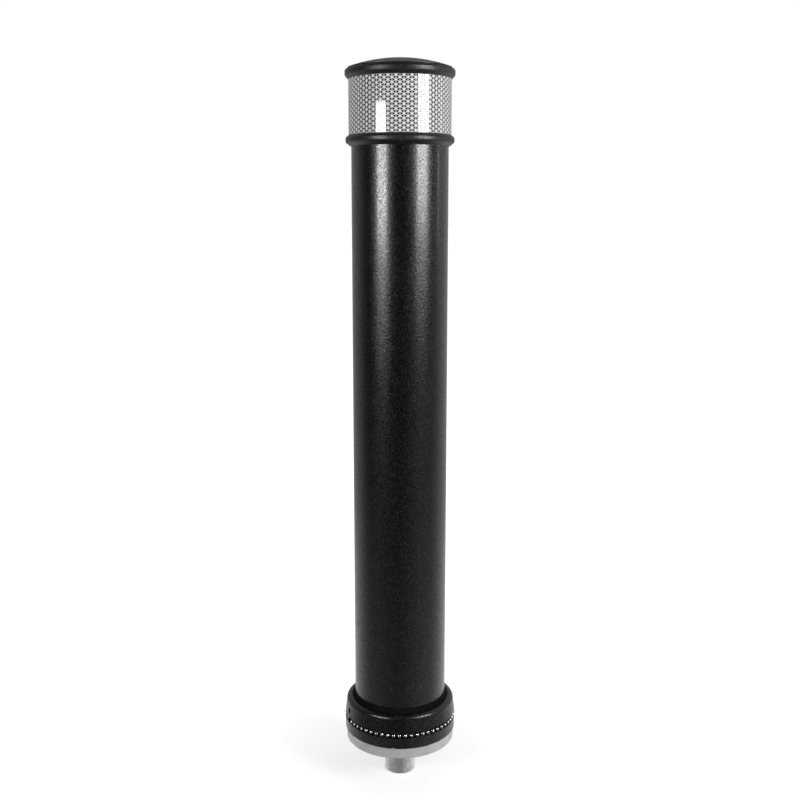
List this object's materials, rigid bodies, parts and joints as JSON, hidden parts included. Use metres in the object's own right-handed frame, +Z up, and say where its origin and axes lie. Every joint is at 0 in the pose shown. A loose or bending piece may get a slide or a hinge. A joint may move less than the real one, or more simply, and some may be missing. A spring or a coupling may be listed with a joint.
{
  "type": "retractable bollard",
  "caption": "Lift-up round steel post with a domed head and white reflective band that slides down through a black ground ring with reflector beads.",
  "frame": {"origin": "on the post's axis, in the plane of the ground plate's underside, which rests on the in-ground casing's flange", "axes": "+Z up along the post; -Y is the front; the side lock faces 159 degrees clockwise from +X seen from above"},
  "size_m": [0.1248, 0.125, 0.7887],
  "materials": {
    "zinc_plate": "die-cast alloy, matt grey",
    "black_coat": "fine textured black powder coat",
    "nylon": "black nylon",
    "black_rubber": "matt black rubber",
    "bead_glass": "bright polished reflector beads",
    "stainless": "plain stainless steel",
    "brass": "turned brass",
    "bronze": "sintered bronze",
    "bright_steel": "bright zinc-plated steel",
    "cast_steel": "phosphated cast steel",
    "cast_alloy": "cast aluminium alloy",
    "black_plastic": "moulded black nylon, fine texture",
    "reflective_film": "white prismatic retroreflective film",
    "black_screw": "blackened steel"
  },
  "bodies": {
    "ground_ring": {"ground_plate": "zinc_plate", "base_ring": "black_coat", "collar": "black_coat", "guide_bush": "nylon", "wiper_seal": "black_rubber", "bead_strip": "nylon", "reflector_beads": "bead_glass", "strip_screw": "stainless", "ring_screws": "stainless"},
    "lock_pin": {"lock_tip": "brass"},
    "lock_driver": {"lock_screw": "stainless"},
    "foot": {"foot_spigot": "bright_steel", "rod_bush": "bronze", "thrust_washer": "bronze"},
    "post": {"lug_ring": "cast_steel", "foot_plug": "cast_alloy", "post_tube": "black_coat", "tie_rod": "bright_steel", "lower_washer": "stainless", "lower_nut": "stainless", "head_spool": "black_plastic", "reflective_band": "reflective_film", "upper_washer": "stainless", "upper_nut": "stainless", "cap_gasket": "black_rubber", "dome_cap": "black_plastic", "crown_screw": "black_screw"}
  },
  "joints": [
    {"name": "post_slide", "type": "slide", "parent": "ground_ring", "child": "foot", "axis": [0, 0, 1], "range_m": [-0.602, 0]},
    {"name": "post_turn", "type": "hinge", "parent": "foot", "child": "post", "pos_m": [0, 0, 0.05], "axis": [0, 0, 1], "range_deg": [0, 45]},
    {"name": "lock_travel", "type": "slide", "parent": "ground_ring", "child": "lock_pin", "axis": [0.9336, 0.3584, 0], "range_m": [0, 0.003]},
    {"name": "lock_turn", "type": "hinge", "parent": "lock_pin", "child": "lock_driver", "pos_m": [-0.05415, -0.02079, 0.0374], "axis": [0.9336, 0.3584, 0], "range_deg": [0, 1351]}
  ],
  "couplings": [
    {"joint": "lock_turn", "follows": "lock_travel", "rad_per_m": 7854}
  ]
}
